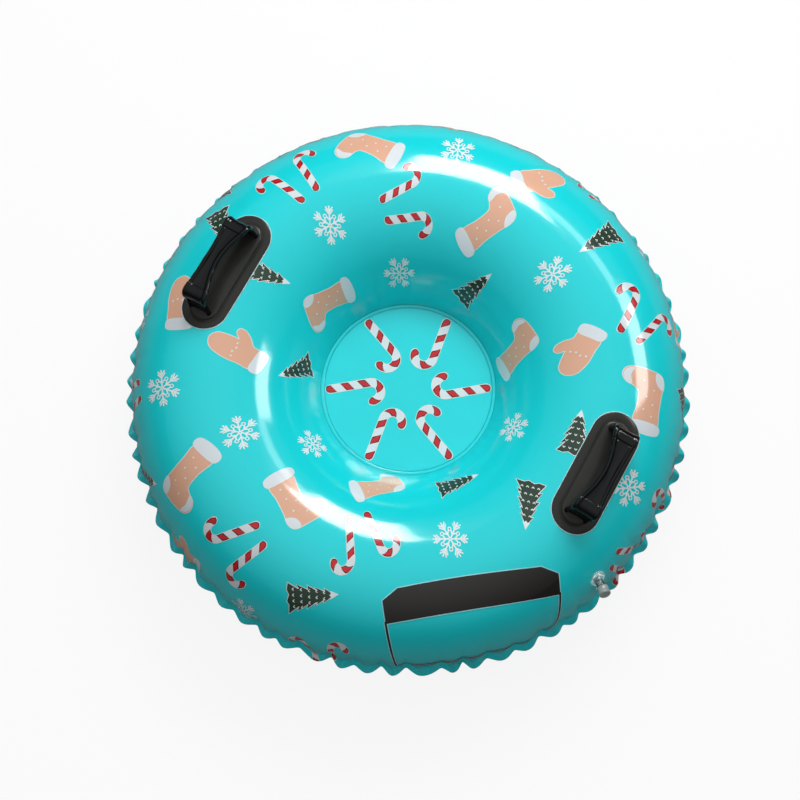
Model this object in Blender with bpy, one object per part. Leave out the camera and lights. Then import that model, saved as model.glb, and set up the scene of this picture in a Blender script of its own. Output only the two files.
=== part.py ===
"""Inflatable snow tube, blown up: two round films welded at the rim and round the seat floor.

Metres, +Z up. The origin is the centre of the ring that the tube rests on. The handles stand at +X and
-X, and the valve leaves the top film a little clockwise of the right handle.
"""

import math

import bmesh
import bpy
import numpy as np
from mathutils import Matrix, Vector

# Films and welds
SEAM_RADIUS = 0.455         # inner edge of the rim weld, where the films part
FLOOR_RADIUS = 0.145        # weld ring round the seat floor
FILM = 0.0006               # thickness of one film
FIT = 0.0003                # gap between pieces that touch
REST_FLATTENING = 0.0015    # how far the underside's crest is pressed flat
STRETCH_POWER = 0.5         # the films bend harder where the radius is large: curvature ~ radius ** power

# Rim
FLANGE_WIDTH = 0.011        # welded strip outside the seam
SCALLOP_DEPTH = 0.0085      # how far each dart draws the rim in
RUFFLE = 0.003              # rise and fall of the rim
PUCKER_RUN = 0.042          # how far the puckers climb the film from the seam
SCALLOPS = 68
SCALLOP_STEPS = 4

# Rows of facets over each film
TOP_ROWS = 16
OUTER_UNDER_ROWS = 4
INNER_UNDER_ROWS = 4
SECTION_STEPS = 600
BULGE_TRIES = 50
SEATING_TRIES = 20
SHARP_ANGLE = math.radians(35)      # an edge that turns more than this is shaded sharp

# Handle pads
HANDLE_SETBACK = 0.124      # from the seam in to a pad's centre, in plan
HANDLE_RADIUS = SEAM_RADIUS - HANDLE_SETBACK
PAD_LENGTH = 0.206
PAD_WIDTH = 0.076
PAD_RIM_WIDTH = 0.016       # flat welded border
PAD_RIM_THICKNESS = 0.0012
PAD_STEP_WIDTH = 0.0025     # slope from the border up to the raised bed
PAD_BED_THICKNESS = 0.0035
PAD_SPINE_WIDTH = 0.006     # facet down the middle
PAD_END_STEPS = 8
PAD_SIDE_STEPS = 4

# Handle grips
GRIP_OFFSET = 0.004             # feet stand this far outwards of the pad's middle
GRIP_SWAY = 0.004               # and the band's ends this much further
GRIP_BELLY = 0.005              # and the band's middle this much further again
GRIP_HEIGHT = 0.047             # pad's skin to the middle of the band
GRIP_LENGTH = 0.140             # between the shoulders
GRIP_FOOT_SPREAD = 0.003        # each foot stands this far outside its shoulder
GRIP_CROWN = 0.002              # rise of the band's middle
GRIP_SHOULDER_RADIUS = 0.009
GRIP_END_WIDTH = 0.042
GRIP_WAIST_WIDTH = 0.027
GRIP_BAND_THICKNESS = 0.0036
GRIP_ROLL_DIAMETER = 0.0075     # rolled edges
GRIP_ROLL_ANGLES = (math.radians(65), math.radians(125))    # facets over a roll, down to the web
GRIP_SHOULDER_STEPS = 3
GRIP_BAND_STEPS = 8
GRIP_LEG_STEPS = 2

# Valve
VALVE_BEYOND_PAD = 0.0333           # from the right pad's end to the valve, round the tube
VALVE_RUN = 0.0745                  # up the film from the seam
VALVE_LEAN = math.radians(20)       # the soft stem leans clockwise from the film's normal
FLANGE_RADIUS = 0.0150
FLANGE_THICKNESS = 0.0010
BOOT_FOOT_RADIUS = 0.0115
BOOT_HEIGHT = 0.0050
BOOT_WALL = 0.0012
STEM_RADIUS = 0.0070
STEM_HEIGHT = 0.0185                # film to the top of the lip
STEM_TAIL = 0.0060                  # inside the air chamber
BORE_RADIUS = 0.0048
LIP_RADIUS = 0.0088
LIP_THICKNESS = 0.0020
PLUG_RADIUS = 0.0092
PLUG_HEIGHT = 0.0140
PLUG_ROUNDING = 0.0020
PLUG_ROUNDING_STEPS = 3
SPIGOT_LENGTH = 0.0110
SPIGOT_TAPER = 0.0006
FLAP_RADIUS = 0.0058
FLAP_THICKNESS = 0.0008
FLAP_EAR = 0.0014                   # from the flap's edge out to its hinge line
FLAP_EAR_ANGLE = math.radians(25)   # half the ear, seen from the flap's centre
STRAP_WIDTH = 0.0030
STRAP_THICKNESS = 0.0012
STRAP_REACH = 0.0070                # how far the loop stands off the lip
STRAP_STEPS = 8
HOLE_CLEARANCE = 0.0008             # film's hole beyond the stem
TURNED_STEPS = 20
OVERRUN = 0.010                     # cutters pass through by this much

for old in list(bpy.data.objects):
    bpy.data.objects.remove(old, do_unlink=True)


# Shape of the blown-up films

def curve_for(bulge):
    """Section from the seam to the floor ring for one bulge, on a seam radius of 1."""
    power = STRETCH_POWER + 1
    ring_share = FLOOR_RADIUS / SEAM_RADIUS
    last_tilt = math.acos(max(-1, 1 - bulge * (1 - ring_share ** power) / power))
    tilts = np.linspace(0, last_tilt, SECTION_STEPS)
    radii = (1 - power * (1 - np.cos(tilts)) / bulge) ** (1 / power)
    bend_radii = 1 / (bulge * radii ** STRETCH_POWER)
    steps = np.diff(tilts)
    rises = np.cos(tilts) * bend_radii
    heights = np.concatenate([[0], np.cumsum((rises[1:] + rises[:-1]) / 2 * steps)])
    runs = np.concatenate([[0], np.cumsum((bend_radii[1:] + bend_radii[:-1]) / 2 * steps)])
    return tilts, radii, heights, runs


def blown_section():
    """The bulge that brings the film back to the floor's level at the floor ring."""
    power = STRETCH_POWER + 1
    ring_share = FLOOR_RADIUS / SEAM_RADIUS
    low = power / (1 - ring_share ** power)
    high = 2 * low
    for _ in range(BULGE_TRIES):
        bulge = (low + high) / 2
        heights = curve_for(bulge)[2]
        if heights[-1] > 0:
            low = bulge
        else:
            high = bulge
    tilts, radii, heights, runs = curve_for(low)
    return tilts, radii * SEAM_RADIUS, heights * SEAM_RADIUS, runs * SEAM_RADIUS


TILTS, RADII, HEIGHTS, RUNS = blown_section()
CREST = float(HEIGHTS.max())
OUTER_FACE = FIT / 2 + FILM             # a film's outer face, from the plane between the films
SEAM_LEVEL = OUTER_FACE + CREST - REST_FLATTENING


def along_film(value, known, wanted):
    """Read one column of the section at a value of another that grows along the film."""
    return float(np.interp(value, known, wanted))


def film_at_radius(radius):
    """Height and tilt of the top film's outer face at one plan radius."""
    height = np.interp(-radius, -RADII, HEIGHTS)
    tilt = np.interp(-radius, -RADII, TILTS)
    return SEAM_LEVEL + OUTER_FACE + float(height), float(tilt)


def normal_at(x, y):
    """Outward normal of the top film over one plan point."""
    tilt = film_at_radius(math.hypot(x, y))[1]
    bearing = math.atan2(y, x)
    return Vector((math.cos(tilt) * math.cos(bearing), math.cos(tilt) * math.sin(bearing), math.sin(tilt)))


def on_film(x, y, lift):
    """Point that stands off the top film over one plan point."""
    height = film_at_radius(math.hypot(x, y))[0]
    return Vector((x, y, height)) + normal_at(x, y) * lift


def lift_of(point):
    """How far a point near the top film stands off it."""
    height, tilt = film_at_radius(math.hypot(point.x, point.y))
    return (point.z - height) * math.sin(tilt)


def slide_to_lift(point, direction, lift):
    """Move a point along a direction until it stands off the film by the given lift."""
    for _ in range(SEATING_TRIES):
        closing = direction.dot(normal_at(point.x, point.y))
        point = point + direction * ((lift - lift_of(point)) / closing)
    return point


# Mesh building

def stitch(bm, first, second):
    """Faces between two rings, the finer one holding a whole number of steps to each of the coarser."""
    coarse, fine = (first, second) if len(first) <= len(second) else (second, first)
    ratio = len(fine) // len(coarse)
    for i, here in enumerate(coarse):
        there = coarse[(i + 1) % len(coarse)]
        steps = [fine[(i * ratio + k) % len(fine)] for k in range(ratio + 1)]
        middle = ratio // 2
        if ratio == 1:
            bm.faces.new((here, there, steps[1], steps[0]))
            continue
        for k in range(middle):
            bm.faces.new((here, steps[k + 1], steps[k]))
        bm.faces.new((here, there, steps[middle]))
        for k in range(middle, ratio):
            bm.faces.new((there, steps[k + 1], steps[k]))


def close_strip(bm, ring):
    """Fill a long narrow ring with faces from side to side, about its first point's axis."""
    count = len(ring)
    for i in range(count // 2):
        corners = (ring[i], ring[i + 1], ring[count - i - 1], ring[-i])
        bm.faces.new(tuple(dict.fromkeys(corners)))


def ringed_mesh(name, rings, ends="flat"):
    """Closed mesh over a row of rings, whose ends are flat faces, strips or joined to each other."""
    bm = bmesh.new()
    loops = [[bm.verts.new(point) for point in ring] for ring in rings]
    for first, second in zip(loops, loops[1:]):
        stitch(bm, first, second)
    if ends == "joined":
        stitch(bm, loops[-1], loops[0])
    elif ends == "strips":
        close_strip(bm, loops[0])
        close_strip(bm, loops[-1])
    else:
        bm.faces.new(loops[0])
        bm.faces.new(loops[-1])
    bmesh.ops.recalc_face_normals(bm, faces=bm.faces)
    mesh = bpy.data.meshes.new(name)
    bm.to_mesh(mesh)
    bm.free()
    mesh.shade_smooth()
    mesh.set_sharp_from_angle(angle=SHARP_ANGLE)
    return mesh


def place(name, mesh, material, parent=None):
    """Add the named piece to the scene."""
    piece = bpy.data.objects.new(name, mesh)
    piece.data.materials.append(material)
    piece.parent = parent
    bpy.context.collection.objects.link(piece)
    return piece


def finish_of(name, colour, roughness):
    """Plain vinyl finish."""
    material = bpy.data.materials.new(name)
    material.use_nodes = True
    shader = material.node_tree.nodes["Principled BSDF"]
    shader.inputs["Base Color"].default_value = (*colour, 1)
    shader.inputs["Roughness"].default_value = roughness
    shader.inputs["Metallic"].default_value = 0
    return material


# Films

def bearings(count):
    """Even bearings round the tube's axis."""
    return [2 * math.pi * i / count for i in range(count)]


def around(radius, z):
    """Plain ring, one point to a scallop."""
    return [Vector((radius * math.cos(b), radius * math.sin(b), z)) for b in bearings(SCALLOPS)]


def rim_ring(radius, z):
    """Ring in the weld: darts draw it in between the scallops, and it waves up and down."""
    points = []
    for bearing in bearings(SCALLOPS * SCALLOP_STEPS):
        phase = SCALLOPS * bearing
        reach = radius - SCALLOP_DEPTH * (1 - abs(math.cos(phase / 2)))
        lift = RUFFLE * math.sin(phase)
        points.append(Vector((reach * math.cos(bearing), reach * math.sin(bearing), z + lift)))
    return points


def film_ring(run, depth, side):
    """Ring round the blown-up film, some depth under its outer face, above or below the seam."""
    tilt = along_film(run, RUNS, TILTS)
    radius = along_film(run, RUNS, RADII) - depth * math.cos(tilt)
    height = along_film(run, RUNS, HEIGHTS) - depth * math.sin(tilt)
    return around(radius, SEAM_LEVEL + side * (OUTER_FACE + height))


def even_runs(first_run, last_run, rows):
    """Runs up the film that turn it by even angles."""
    first = along_film(first_run, RUNS, TILTS)
    last = along_film(last_run, RUNS, TILTS)
    return [along_film(first + (last - first) * i / rows, TILTS, RUNS) for i in range(rows + 1)]


def film_mesh(name, side, runs):
    """One film: floor, blown-up wall and welded rim, with both of its faces."""
    inner_face = SEAM_LEVEL + side * FIT / 2
    outer_face = SEAM_LEVEL + side * OUTER_FACE
    edge_radius = SEAM_RADIUS + FLANGE_WIDTH
    rings = [film_ring(run, 0, side) for run in reversed(runs)]
    rings.append(rim_ring(SEAM_RADIUS, outer_face))
    rings.append(rim_ring(edge_radius, outer_face))
    rings.append(rim_ring(edge_radius, inner_face))
    rings.append(rim_ring(SEAM_RADIUS - FILM, inner_face))
    rings += [film_ring(run, FILM, side) for run in runs[:-1]]
    rings.append(around(FLOOR_RADIUS + FILM, inner_face))
    return ringed_mesh(name, rings)


def add_top_sheet(material, cutter):
    """Printed film, with the hole that the valve is welded over."""
    piece = place("top_sheet", film_mesh("top_sheet", 1, even_runs(PUCKER_RUN, RUNS[-1], TOP_ROWS)), material)
    cut = piece.modifiers.new("valve_hole", "BOOLEAN")
    cut.operation = "DIFFERENCE"
    cut.solver = "EXACT"
    cut.object = cutter
    return piece


def add_bottom_sheet(material):
    """Plain film, pressed flat along its crest by the tube's weight."""
    crest_run = RUNS[int(np.argmax(HEIGHTS))]
    flat_height = CREST - REST_FLATTENING
    outer = RUNS <= crest_run
    outer_edge = along_film(flat_height, HEIGHTS[outer], RUNS[outer])
    inner_edge = along_film(-flat_height, -HEIGHTS[~outer], RUNS[~outer])
    runs = even_runs(PUCKER_RUN, outer_edge, OUTER_UNDER_ROWS)
    runs += even_runs(inner_edge, RUNS[-1], INNER_UNDER_ROWS)
    return place("bottom_sheet", film_mesh("bottom_sheet", -1, runs), material)


# Handles

def pad_ring(inset, lift):
    """Outline of the right handle's pad, drawn in by the inset and laid over the film."""
    radius = PAD_WIDTH / 2 - inset
    straight = PAD_LENGTH - PAD_WIDTH
    outline = []
    for end in (1, -1):
        for i in range(PAD_END_STEPS + 1):
            turn = math.pi * i / PAD_END_STEPS
            outline.append((end * radius * math.cos(turn), end * (straight / 2 + radius * math.sin(turn))))
        for i in range(1, PAD_SIDE_STEPS):
            outline.append((-end * radius, end * straight * (1 / 2 - i / PAD_SIDE_STEPS)))
    half = PAD_END_STEPS // 2
    outline = outline[half:] + outline[:half]
    return [on_film(HANDLE_RADIUS + across, along, lift) for across, along in outline]


def pad_mesh(name):
    """Die-cut pad with a flat welded border and a raised bed."""
    bed_inset = PAD_RIM_WIDTH + PAD_STEP_WIDTH
    spine_inset = (PAD_WIDTH - PAD_SPINE_WIDTH) / 2
    middle_inset = (bed_inset + spine_inset) / 2
    under = [spine_inset, middle_inset, bed_inset, PAD_RIM_WIDTH / 2, 0]
    rings = [pad_ring(inset, FIT) for inset in under]
    rings.append(pad_ring(0, FIT + PAD_RIM_THICKNESS))
    rings.append(pad_ring(PAD_RIM_WIDTH, FIT + PAD_RIM_THICKNESS))
    rings += [pad_ring(inset, FIT + PAD_BED_THICKNESS) for inset in (bed_inset, middle_inset, spine_inset)]
    return ringed_mesh(name, rings, ends="strips")


def grip_stations():
    """Middle line of the right grip from foot to foot: place along and up, direction, and share of the waist."""
    shoulder = GRIP_LENGTH / 2 - GRIP_SHOULDER_RADIUS
    top = GRIP_HEIGHT - GRIP_CROWN
    bend_height = top - GRIP_SHOULDER_RADIUS
    foot = GRIP_LENGTH / 2 + GRIP_FOOT_SPREAD
    leg_angle = math.atan2(bend_height, GRIP_FOOT_SPREAD)
    half = []
    for i in range(GRIP_LEG_STEPS):
        share = i / GRIP_LEG_STEPS
        half.append((-foot + GRIP_FOOT_SPREAD * share, bend_height * share, leg_angle, 0))
    for i in range(GRIP_SHOULDER_STEPS + 1):
        turn = math.pi / 2 * i / GRIP_SHOULDER_STEPS
        along = -shoulder - GRIP_SHOULDER_RADIUS * math.cos(turn)
        half.append((along, bend_height + GRIP_SHOULDER_RADIUS * math.sin(turn), math.pi / 2 - turn, 0))
    for i in range(1, GRIP_BAND_STEPS // 2 + 1):
        turn = math.pi * i / GRIP_BAND_STEPS
        along = -shoulder * (1 - 2 * i / GRIP_BAND_STEPS)
        half.append((along, top + GRIP_CROWN * math.sin(turn), 0, math.sin(turn)))
    mirrored = [(-along, up, -angle, waist) for along, up, angle, waist in reversed(half[:-1])]
    return half + mirrored


def band_section(width):
    """Cross-section of the band: a thin web between two rolled edges."""
    web = GRIP_BAND_THICKNESS / 2
    roll = GRIP_ROLL_DIAMETER / 2
    roll_centre = width / 2 - roll
    right = []
    for angle in GRIP_ROLL_ANGLES:
        right.append((roll_centre + roll * math.cos(angle), roll * math.sin(angle)))
    right.append((roll_centre / 2, web))
    left = [(-across, up) for across, up in reversed(right)]
    upper = right + [(0, web)] + left
    lower = [(across, -up) for across, up in reversed(upper)]
    return [(width / 2, 0)] + upper + [(-width / 2, 0)] + lower


def grip_mesh(name):
    """Soft moulded strap that bridges the pad, pushed over outwards."""
    along = Vector((0, 1, 0))
    up = normal_at(HANDLE_RADIUS, 0)
    across = along.cross(up)
    root = on_film(HANDLE_RADIUS, 0, 0) + across * GRIP_OFFSET
    rings = []
    for place_along, place_up, angle, waist in grip_stations():
        width = GRIP_END_WIDTH + (GRIP_WAIST_WIDTH - GRIP_END_WIDTH) * waist
        hang = GRIP_SWAY * place_up / GRIP_HEIGHT + GRIP_BELLY * waist
        centre = root + along * place_along + up * place_up + across * hang
        outwards = up * math.cos(angle) - along * math.sin(angle)
        rings.append([centre + across * a + outwards * b for a, b in band_section(width)])
    seat = FIT + PAD_BED_THICKNESS + FIT
    leg = (up * GRIP_HEIGHT + across * GRIP_SWAY).normalized()
    for end in (0, -1):
        rings[end] = [slide_to_lift(point, leg, seat) for point in rings[end]]
    return ringed_mesh(name, rings, ends="strips")


def add_handles(pad_material, grip_material):
    """The right handle at +X, and the left one turned half way round the tube."""
    pad = pad_mesh("handle_pad")
    grip = grip_mesh("handle_grip")
    for side, turn in (("right", 0), ("left", math.pi)):
        mount = bpy.data.objects.new(side + "_handle_mount", None)
        mount.rotation_euler.z = turn
        bpy.context.collection.objects.link(mount)
        place(side + "_handle_pad", pad, pad_material, mount)
        place(side + "_handle_grip", grip, grip_material, mount)


# Valve

def valve_axes():
    """Root of the valve on the film, the film's normal there, and the stem's frame."""
    radius = along_film(VALVE_RUN, RUNS, RADII)
    bearing = -(PAD_LENGTH / 2 + VALVE_BEYOND_PAD) / radius
    x = radius * math.cos(bearing)
    y = radius * math.sin(bearing)
    root = on_film(x, y, 0)
    normal = normal_at(x, y)
    clockwise = Vector((math.sin(bearing), -math.cos(bearing), 0))
    stem = normal * math.cos(VALVE_LEAN) + clockwise * math.sin(VALVE_LEAN)
    side = (clockwise - stem * clockwise.dot(stem)).normalized()
    downhill = stem.cross(side)
    frame = Matrix.Translation(root) @ Matrix((side, downhill, stem)).transposed().to_4x4()
    return root, normal, frame


def circle(frame, radius, height):
    """Ring square to a frame's Z axis."""
    return [frame @ Vector((radius * math.cos(b), radius * math.sin(b), height)) for b in bearings(TURNED_STEPS)]


def turned(name, profile, ends="flat"):
    """Piece turned round its own Z axis from (radius, height) points."""
    level = Matrix.Identity(4)
    return ringed_mesh(name, [circle(level, radius, height) for radius, height in profile], ends)


def flange_mesh(name, root, normal, frame):
    """Welded disc that follows the film, with a short boot up the leaning stem."""
    axis = frame.col[2].to_3d()
    hole_radius = STEM_RADIUS + FIT
    boot_radius = hole_radius + BOOT_WALL

    def on_skin(radius, lift):
        ring = circle(frame, radius, 0)
        flat = [point - normal * (point - root).dot(normal) for point in ring]
        return [slide_to_lift(point, normal, lift) for point in flat]

    top = FIT + FLANGE_THICKNESS
    rings = [[slide_to_lift(point, axis, FIT) for point in circle(frame, hole_radius, 0)]]
    rings.append(on_skin(BOOT_FOOT_RADIUS, FIT))
    rings.append(on_skin(FLANGE_RADIUS, FIT))
    rings.append(on_skin(FLANGE_RADIUS, top))
    rings.append(on_skin(BOOT_FOOT_RADIUS, top))
    rings.append(circle(frame, boot_radius, BOOT_HEIGHT))
    rings.append(circle(frame, hole_radius, BOOT_HEIGHT))
    return ringed_mesh(name, rings, ends="joined")


def stem_mesh(name):
    """Tube with a lip round its mouth."""
    lip_foot = STEM_HEIGHT - LIP_THICKNESS
    profile = [(STEM_RADIUS, -STEM_TAIL), (STEM_RADIUS, lip_foot), (LIP_RADIUS, lip_foot)]
    profile += [(LIP_RADIUS, STEM_HEIGHT), (BORE_RADIUS, STEM_HEIGHT), (BORE_RADIUS, -STEM_TAIL)]
    return turned(name, profile, ends="joined")


def plug_mesh(name):
    """Stopper with a tapered spigot, drawn from the spigot's tip up."""
    spigot = BORE_RADIUS - FIT
    seat = STEM_HEIGHT + FIT
    profile = [(spigot - SPIGOT_TAPER, STEM_HEIGHT - SPIGOT_LENGTH), (spigot, seat), (PLUG_RADIUS, seat)]
    for i in range(PLUG_ROUNDING_STEPS + 1):
        turn = math.pi / 2 * i / PLUG_ROUNDING_STEPS
        radius = PLUG_RADIUS - PLUG_ROUNDING * (1 - math.cos(turn))
        profile.append((radius, seat + PLUG_HEIGHT - PLUG_ROUNDING * (1 - math.sin(turn))))
    return turned(name, profile)


def flap_mesh(name):
    """Check flap with a square ear to its hinge line, which is the piece's own Y axis."""
    reach = FLAP_RADIUS + FLAP_EAR
    half_ear = FLAP_RADIUS * math.sin(FLAP_EAR_ANGLE)
    sweep = math.pi - FLAP_EAR_ANGLE
    outline = [(0, -half_ear), (0, half_ear)]
    for i in range(TURNED_STEPS + 1):
        turn = sweep - 2 * sweep * i / TURNED_STEPS
        outline.append((reach + FLAP_RADIUS * math.cos(turn), FLAP_RADIUS * math.sin(turn)))
    return ringed_mesh(name, [[Vector((x, y, z)) for x, y in outline] for z in (-FLAP_THICKNESS, 0)])


def strap_mesh(name):
    """Short looped strap under the stem, from its lip up to the plug's side."""
    foot = LIP_RADIUS + FIT
    head = PLUG_RADIUS + FIT
    low = STEM_HEIGHT - LIP_THICKNESS / 2
    high = STEM_HEIGHT + FIT + PLUG_HEIGHT / 2
    across = Vector((STRAP_WIDTH / 2, 0, 0))
    rings = []
    for i in range(STRAP_STEPS + 1):
        turn = math.pi * i / STRAP_STEPS
        share = (1 - math.cos(turn)) / 2
        reach = foot + (head - foot) * share + STRAP_REACH * math.sin(turn)
        middle = Vector((0, reach, low + (high - low) * share))
        outwards = (head - foot) / 2 * math.sin(turn) + STRAP_REACH * math.cos(turn)
        slope = Vector((0, outwards, (high - low) / 2 * math.sin(turn))).normalized()
        thick = Vector((0, -slope.z, slope.y)) * (STRAP_THICKNESS / 2)
        rings.append([middle + across + thick, middle - across + thick,
                      middle - across - thick, middle + across - thick])
    return ringed_mesh(name, rings)


def add_valve_cutter(frame):
    """Drill for the film's hole, along the stem."""
    radius = STEM_RADIUS + HOLE_CLEARANCE
    cutter = bpy.data.objects.new("valve_drill", turned("valve_drill", [(radius, -OVERRUN), (radius, OVERRUN)]))
    cutter.matrix_world = frame
    cutter.hide_render = True
    cutter.display_type = "WIRE"
    bpy.context.collection.objects.link(cutter)
    return cutter


def add_valve(root, normal, frame, clear, milky):
    """Welded flange, sliding stem, and the flap, plug and strap that it carries."""
    place("valve_flange", flange_mesh("valve_flange", root, normal, frame), clear)
    stem = place("valve_stem", stem_mesh("valve_stem"), clear)
    stem.matrix_world = frame
    place("valve_plug", plug_mesh("valve_plug"), milky, stem)
    flap = place("valve_flap", flap_mesh("valve_flap"), clear, stem)
    flap.location = (-FLAP_RADIUS - FLAP_EAR, 0, -STEM_TAIL - FIT)
    place("valve_strap", strap_mesh("valve_strap"), clear, stem)


turquoise = finish_of("turquoise_vinyl", (0.045, 0.68, 0.70), 0.22)
deep_turquoise = finish_of("turquoise_base_vinyl", (0.03, 0.55, 0.58), 0.3)
black_pad = finish_of("black_pad_vinyl", (0.03, 0.026, 0.025), 0.4)
black_grip = finish_of("black_grip_vinyl", (0.016, 0.015, 0.016), 0.18)
clear_vinyl = finish_of("clear_vinyl", (0.75, 0.86, 0.86), 0.15)
milky_vinyl = finish_of("milky_vinyl", (0.58, 0.60, 0.60), 0.25)

valve_root, valve_normal, valve_frame = valve_axes()
drill = add_valve_cutter(valve_frame)
add_top_sheet(turquoise, drill)
add_bottom_sheet(deep_turquoise)
add_handles(black_pad, black_grip)
add_valve(valve_root, valve_normal, valve_frame, clear_vinyl, milky_vinyl)
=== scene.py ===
import math

import bpy
import numpy as np
from mathutils import Matrix, Vector
from mathutils.geometry import delaunay_2d_cdt


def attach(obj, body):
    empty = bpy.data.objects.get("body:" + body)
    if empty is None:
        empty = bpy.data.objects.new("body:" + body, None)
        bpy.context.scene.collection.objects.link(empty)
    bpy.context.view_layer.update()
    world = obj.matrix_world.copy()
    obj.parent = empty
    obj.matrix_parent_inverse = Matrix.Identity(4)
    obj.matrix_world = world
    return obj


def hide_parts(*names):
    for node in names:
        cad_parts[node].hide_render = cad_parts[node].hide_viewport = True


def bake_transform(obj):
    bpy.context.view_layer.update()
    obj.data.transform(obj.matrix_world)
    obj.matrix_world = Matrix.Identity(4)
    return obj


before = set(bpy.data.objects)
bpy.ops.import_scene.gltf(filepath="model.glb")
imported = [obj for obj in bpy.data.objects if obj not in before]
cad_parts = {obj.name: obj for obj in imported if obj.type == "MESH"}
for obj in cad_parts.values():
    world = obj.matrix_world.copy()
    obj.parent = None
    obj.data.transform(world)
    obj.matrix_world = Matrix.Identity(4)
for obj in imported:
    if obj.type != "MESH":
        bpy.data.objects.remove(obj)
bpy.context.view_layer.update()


# Bottom film
# A full round of plain turquoise PVC film, 0.6 mm thick. It is welded to the top film in a gathered strip
# round the rim and in a ring round the seat floor, and it stands on its crest, pressed flat by the weight.

round_turn = 2 * math.pi
seam_radius = 0.455
floor_radius = 0.145
film_thickness = 0.0006
film_gap = 0.0003
stretch_power = 0.5
rest_flattening = 0.0015
rim_width = 0.011
gathers = 68
gather_points = 10
gather_depth, gather_reach = 0.0118, 0.020
ruffle_height, ruffle_reach = 0.0052, 0.014
rim_droop = 0.0050
crease_depth, crease_reach, crease_softness = 0.0040, 0.015, 0.025
long_crease_depth, long_crease_reach = 0.0014, 0.030
well_ripple, floor_slack, slack_reach = 0.0006, 0.0006, 0.012
ring_bead, rim_bead, pressed_depth = 0.0004, 0.0005, 0.0008
seam_rounding, ring_rounding = 0.0110, 0.0035
quiet_radius = 0.022            # the valve's weld keeps the gathers out of this round
bottom_colour = (0.008, 0.50, 0.55)


def trial_section(bulge):
    """Section of the blown-up film from the seam to the floor ring for one bulge, on a seam radius of 1."""
    power = stretch_power + 1
    ring_share = floor_radius / seam_radius
    last_tilt = math.acos(max(-1, 1 - bulge * (1 - ring_share ** power) / power))
    tilts = np.linspace(0, last_tilt, 600)
    radii = (1 - power * (1 - np.cos(tilts)) / bulge) ** (1 / power)
    bends = 1 / (bulge * radii ** stretch_power)
    rises = np.cos(tilts) * bends
    steps = np.diff(tilts)
    heights = np.concatenate([[0], np.cumsum((rises[1:] + rises[:-1]) / 2 * steps)])
    runs = np.concatenate([[0], np.cumsum((bends[1:] + bends[:-1]) / 2 * steps)])
    return tilts, radii * seam_radius, heights * seam_radius, runs * seam_radius


def blown_up():
    """The section whose film comes back to the floor's level at the floor ring."""
    power = stretch_power + 1
    low = power / (1 - (floor_radius / seam_radius) ** power)
    high = 2 * low
    for _ in range(50):
        bulge = (low + high) / 2
        if trial_section(bulge)[2][-1] > 0:
            low = bulge
        else:
            high = bulge
    return trial_section(low)


section_tilts, section_radii, section_heights, section_runs = blown_up()
wall_run = float(section_runs[-1])
crest = float(section_heights.max())
outer_face = film_gap / 2 + film_thickness
seam_level = outer_face + crest - rest_flattening
valve_run = 0.0745
valve_radius = float(np.interp(valve_run, section_runs, section_radii))
valve_bearing = -(0.103 + 0.0333) / valve_radius


def plain_section(run):
    """Radius and height of the film without its gathers: rim strip, then wall, then seat floor."""
    radius = np.interp(run, section_runs, section_radii)
    radius = radius + np.clip(-run, 0, None) - np.clip(run - wall_run, 0, None)
    return radius, np.interp(run, section_runs, section_heights)


def rounded_section(run):
    """The same with bends at the rim seam and at the floor ring."""
    radius, height = plain_section(run)
    for corner, rounding in ((0.0, seam_rounding), (wall_run, ring_rounding)):
        ends = np.array([corner - rounding, corner, corner + rounding])
        end_radii, end_heights = plain_section(ends)
        share = (run - ends[0]) / (2 * rounding)
        near = (share > 0) & (share < 1)
        weights = np.stack([(1 - share) ** 2, 2 * share * (1 - share), share ** 2])
        radius = np.where(near, np.tensordot(end_radii, weights, 1), radius)
        height = np.where(near, np.tensordot(end_heights, weights, 1), height)
    return radius, height


def swelling(distance, peak):
    """Rises from nothing to 1 at the peak and dies away beyond it."""
    return distance / peak * np.exp(1 - distance / peak)


def ridge(distance, width):
    return np.exp(-(distance / width) ** 2)


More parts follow.
